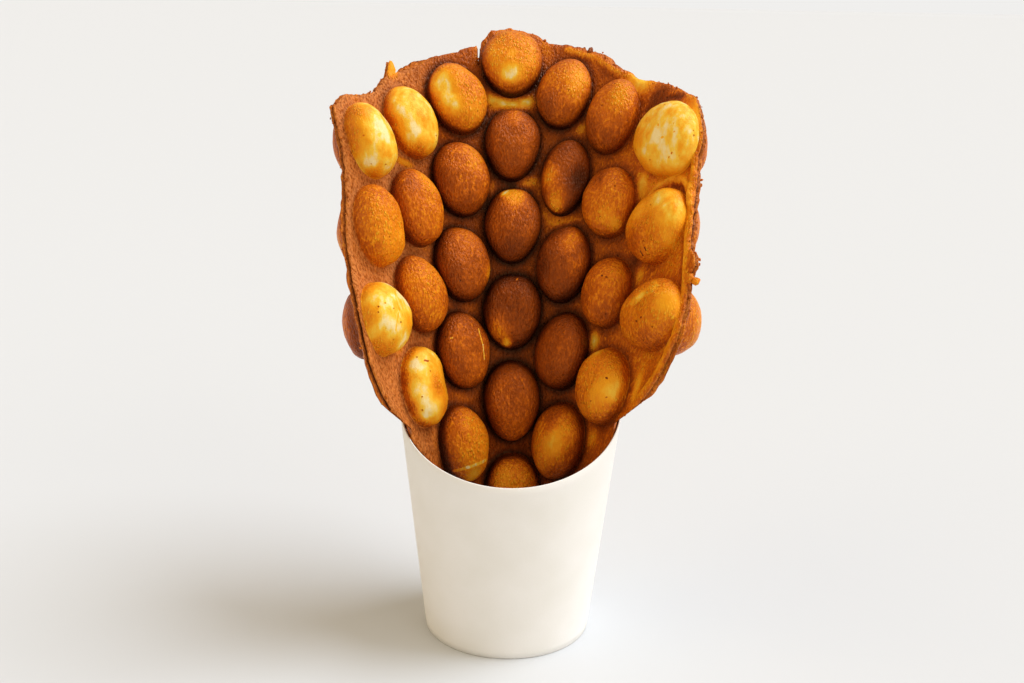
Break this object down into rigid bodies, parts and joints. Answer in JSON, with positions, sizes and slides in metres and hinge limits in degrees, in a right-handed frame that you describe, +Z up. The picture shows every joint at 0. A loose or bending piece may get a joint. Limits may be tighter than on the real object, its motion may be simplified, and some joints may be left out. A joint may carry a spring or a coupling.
{
  "type": "bubble waffle",
  "caption": "Curled egg-shaped bubble waffle standing open side forward in a white paper cup with a slanted rim.",
  "frame": {"origin": "centre of the cup's underside, on the ground", "axes": "+Z up, the open side of the curled waffle faces -Y, +X to the right as seen from the front"},
  "size_m": [0.1344, 0.1037, 0.2173],
  "materials": {
    "baked_batter": "baked egg batter, brown to pale golden by bubble, finely pored, soft sheen",
    "white_paper": "plain matt white cup paper"
  },
  "bodies": {
    "root": {"waffle": "baked_batter", "paper_cup": "white_paper"}
  },
  "joints": []
}
